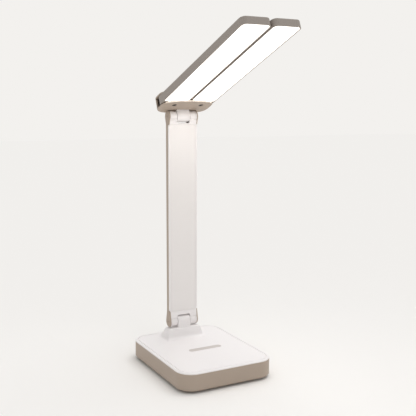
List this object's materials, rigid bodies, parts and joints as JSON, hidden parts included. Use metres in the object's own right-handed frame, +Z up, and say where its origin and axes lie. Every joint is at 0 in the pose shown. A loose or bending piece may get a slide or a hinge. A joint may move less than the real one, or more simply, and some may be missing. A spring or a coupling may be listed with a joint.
{
  "type": "folding desk lamp",
  "caption": "Folding desk lamp with a weighted base and touch key, a flat arm on friction hinges, and slim light panels that swing out of an oval carrier.",
  "frame": {"origin": "middle of the foot pad's underside, on the desk", "axes": "+Z up, -Y the way the panels point over the desk, +X to the right seen from the front"},
  "size_m": [0.12, 0.2276, 0.3979],
  "materials": {
    "taupe_plastic": "satin taupe moulding",
    "panel_plastic": "satin warm grey moulding",
    "white_plastic": "semi-gloss warm white",
    "insert_plastic": "matt warm white",
    "key_plastic": "smooth grey-taupe",
    "pad_rubber": "matt rubber",
    "hinge_steel": "bright steel",
    "dark_steel": "black oxide",
    "ballast_steel": "plain zinc-plated steel",
    "circuit_board": "green solder mask",
    "battery_wrap": "shrink wrap",
    "cable_sheath": "flat sheath",
    "lit_diffuser": "opal, lit from behind"
  },
  "bodies": {
    "base": {"base_shell": "taupe_plastic", "base_cover": "white_plastic", "touch_key": "key_plastic", "touch_board": "circuit_board", "foot_pad": "pad_rubber", "ballast_plate": "ballast_steel", "control_board": "circuit_board", "battery_pack": "battery_wrap", "charging_socket": "hinge_steel", "cover_screws": "hinge_steel"},
    "arm": {"lower_shaft": "hinge_steel", "lower_washers": "hinge_steel", "lower_nut": "hinge_steel", "arm_rear_shell": "taupe_plastic", "arm_front_shell": "white_plastic", "arm_insert": "insert_plastic", "arm_strip": "ballast_steel", "arm_cable": "cable_sheath", "arm_screws": "hinge_steel", "upper_shaft": "hinge_steel", "upper_washers": "hinge_steel", "upper_nut": "hinge_steel"},
    "carrier": {"hinge_block": "white_plastic", "hinge_block_screws": "hinge_steel", "carrier_plate": "taupe_plastic", "carrier_cap": "taupe_plastic", "pivot_screws": "dark_steel", "pivot_washers": "hinge_steel"},
    "left_panel": {"left_panel_housing": "panel_plastic", "left_led_board": "circuit_board", "left_diffuser": "lit_diffuser"},
    "right_panel": {"right_panel_housing": "panel_plastic", "right_led_board": "circuit_board", "right_diffuser": "lit_diffuser"}
  },
  "joints": [
    {"name": "base_fold", "type": "hinge", "parent": "base", "child": "arm", "pos_m": [0, 0.0494, 0.045], "axis": [1, 0, 0], "range_deg": [-15, 90]},
    {"name": "head_fold", "type": "hinge", "parent": "arm", "child": "carrier", "pos_m": [0, 0.0494, 0.3015], "axis": [1, 0, 0], "range_deg": [-48, 111.5]},
    {"name": "left_swivel", "type": "hinge", "parent": "carrier", "child": "left_panel", "pos_m": [-0.0177, 0.03536, 0.32208], "axis": [0, -0.3665, -0.9304], "range_deg": [0, 35]},
    {"name": "right_swivel", "type": "hinge", "parent": "carrier", "child": "right_panel", "pos_m": [0.0177, 0.03536, 0.32208], "axis": [0, 0.3665, 0.9304], "range_deg": [0, 35]}
  ]
}
